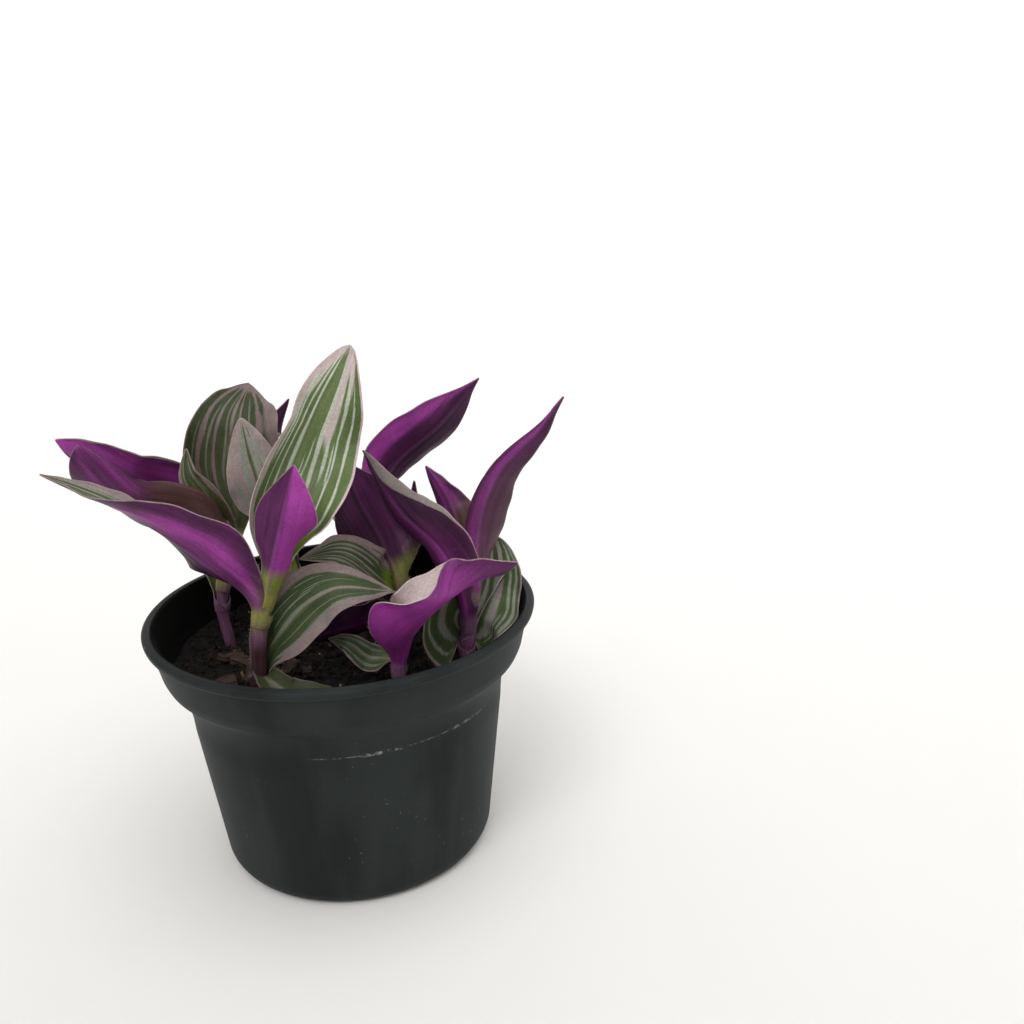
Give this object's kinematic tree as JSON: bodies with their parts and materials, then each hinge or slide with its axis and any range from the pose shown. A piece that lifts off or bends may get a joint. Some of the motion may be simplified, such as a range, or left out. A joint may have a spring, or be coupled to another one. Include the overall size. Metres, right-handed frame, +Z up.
{
  "type": "potted tradescantia",
  "caption": "Striped, purple-backed leafy houseplant: upright jointed stems and clasping pointed leaves in a round tapered nursery pot.",
  "frame": {"origin": "centre of the pot's flat foot, on the surface that it stands on", "axes": "+Z up, +Y from the viewer's side of the picture to the back, +X to the viewer's right"},
  "size_m": [0.1536, 0.1361, 0.1612],
  "materials": {
    "pot": "semi-matte moulded polypropylene, near black",
    "soil": "dark peat compost with bark chips, fully matt",
    "stem": "smooth purple-brown skin, yellow-green near the top",
    "leaf": "satin leaf skin, striped green, silver and pink above, purple below"
  },
  "bodies": {
    "root": {"pot": "pot", "soil": "soil", "stem_front_left": "stem", "stem_back_left": "stem", "stem_front": "stem", "stem_right": "stem", "stem_middle_left": "stem", "stem_middle": "stem", "stem_back": "stem", "leaf_tall_front": "leaf", "leaf_short_front": "leaf", "leaf_long_left": "leaf", "leaf_low_front": "leaf", "leaf_rim": "leaf", "leaf_left_upper": "leaf", "leaf_left_middle": "leaf", "leaf_back_left_broad": "leaf", "leaf_young_left": "leaf", "leaf_left_back": "leaf", "leaf_middle_pale": "leaf", "leaf_behind_broad": "leaf", "leaf_back_left_low": "leaf", "leaf_middle_arched": "leaf", "leaf_middle_upright": "leaf", "leaf_middle_low": "leaf", "leaf_back_right_high": "leaf", "leaf_young_back": "leaf", "leaf_back_centre": "leaf", "leaf_back_right_low": "leaf", "leaf_right_crossing": "leaf", "leaf_right_tall": "leaf", "leaf_right_pointed": "leaf", "leaf_right_broad": "leaf", "leaf_right_back": "leaf", "leaf_goblet": "leaf", "leaf_small_low": "leaf"}
  },
  "joints": []
}
